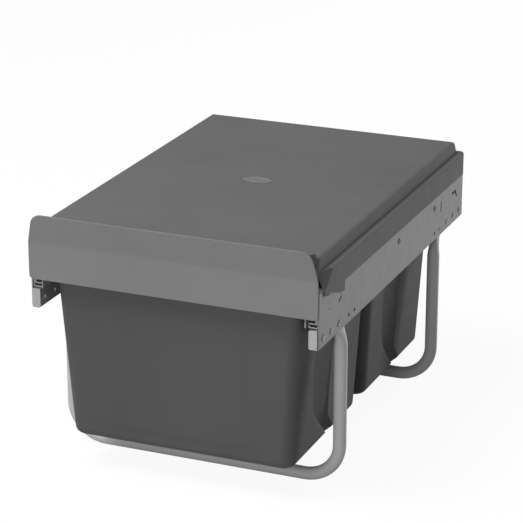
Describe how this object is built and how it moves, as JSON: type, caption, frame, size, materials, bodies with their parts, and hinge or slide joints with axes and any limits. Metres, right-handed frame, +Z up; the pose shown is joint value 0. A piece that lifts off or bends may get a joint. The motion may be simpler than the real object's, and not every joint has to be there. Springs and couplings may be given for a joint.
{
  "type": "pull out bin frame",
  "caption": "floor-standing pull-out waste bin frame with U-shaped tube legs, ball-bearing slides, hanging bins and a lid that stays in the cabinet",
  "frame": {"origin": "on the cabinet floor, midway across the width and the depth of the frame", "axes": "X across the cabinet, +Y to its back, +Z up; the drawer pulls out along -Y"},
  "size_m": [0.3466, 0.4992, 0.3045],
  "materials": {
    "grey_paint": "satin grey powder coat",
    "fascia_grey": "satin grey powder coat",
    "tube_grey": "smooth grey powder coat",
    "zinc": "bright zinc plate",
    "ball_steel": "polished steel",
    "white_plastic": "natural moulded plastic",
    "black_rubber": "matte black rubber",
    "bin_plastic": "fine grained anthracite plastic",
    "lid_plastic": "fine grained grey plastic"
  },
  "bodies": {
    "frame": {"left_side_plate": "grey_paint", "right_side_plate": "grey_paint", "left_base_channel": "zinc", "right_base_channel": "zinc", "front_leg_tube": "tube_grey", "rear_leg_tube": "tube_grey", "plate_rivets": "zinc", "left_outer_member": "zinc", "right_outer_member": "zinc", "slide_rivets": "grey_paint", "left_slide_buffer": "black_rubber", "right_slide_buffer": "black_rubber"},
    "carriage": {"fascia": "fascia_grey", "fascia_screws": "zinc", "left_carrier_rail": "grey_paint", "right_carrier_rail": "grey_paint", "middle_cross_bar": "grey_paint", "rear_cross_bar": "grey_paint", "bar_rivets": "zinc", "rail_rivets": "zinc", "left_inner_member": "zinc", "right_inner_member": "zinc", "front_bin": "bin_plastic", "rear_bin": "bin_plastic"},
    "left_middle": {"left_middle_member": "zinc"},
    "right_middle": {"right_middle_member": "zinc"},
    "left_outer_cage": {"left_outer_retainer": "white_plastic", "left_outer_balls": "ball_steel"},
    "right_outer_cage": {"right_outer_retainer": "white_plastic", "right_outer_balls": "ball_steel"},
    "left_inner_cage": {"left_inner_retainer": "white_plastic", "left_inner_balls": "ball_steel"},
    "right_inner_cage": {"right_inner_retainer": "white_plastic", "right_inner_balls": "ball_steel"},
    "lid": {"lid": "lid_plastic", "lid_boss": "lid_plastic"}
  },
  "joints": [
    {"name": "pull_out", "type": "slide", "parent": "frame", "child": "carriage", "axis": [0, -1, 0], "range_m": [0, 0.44]},
    {"name": "left_outer_cage_slide", "type": "slide", "parent": "frame", "child": "left_outer_cage", "axis": [0, -1, 0], "range_m": [0, 0.11]},
    {"name": "left_middle_slide", "type": "slide", "parent": "frame", "child": "left_middle", "axis": [0, -1, 0], "range_m": [0, 0.22]},
    {"name": "left_inner_cage_slide", "type": "slide", "parent": "frame", "child": "left_inner_cage", "axis": [0, -1, 0], "range_m": [0, 0.33]},
    {"name": "right_outer_cage_slide", "type": "slide", "parent": "frame", "child": "right_outer_cage", "axis": [0, -1, 0], "range_m": [0, 0.11]},
    {"name": "right_middle_slide", "type": "slide", "parent": "frame", "child": "right_middle", "axis": [0, -1, 0], "range_m": [0, 0.22]},
    {"name": "right_inner_cage_slide", "type": "slide", "parent": "frame", "child": "right_inner_cage", "axis": [0, -1, 0], "range_m": [0, 0.33]},
    {"name": "lid_lift", "type": "slide", "parent": "frame", "child": "lid", "axis": [0, 0, 1], "range_m": [0, 0.06]}
  ],
  "couplings": [
    {"joint": "left_outer_cage_slide", "follows": "pull_out", "ratio": 0.25},
    {"joint": "left_middle_slide", "follows": "pull_out", "ratio": 0.5},
    {"joint": "left_inner_cage_slide", "follows": "pull_out", "ratio": 0.75},
    {"joint": "right_outer_cage_slide", "follows": "pull_out", "ratio": 0.25},
    {"joint": "right_middle_slide", "follows": "pull_out", "ratio": 0.5},
    {"joint": "right_inner_cage_slide", "follows": "pull_out", "ratio": 0.75}
  ]
}
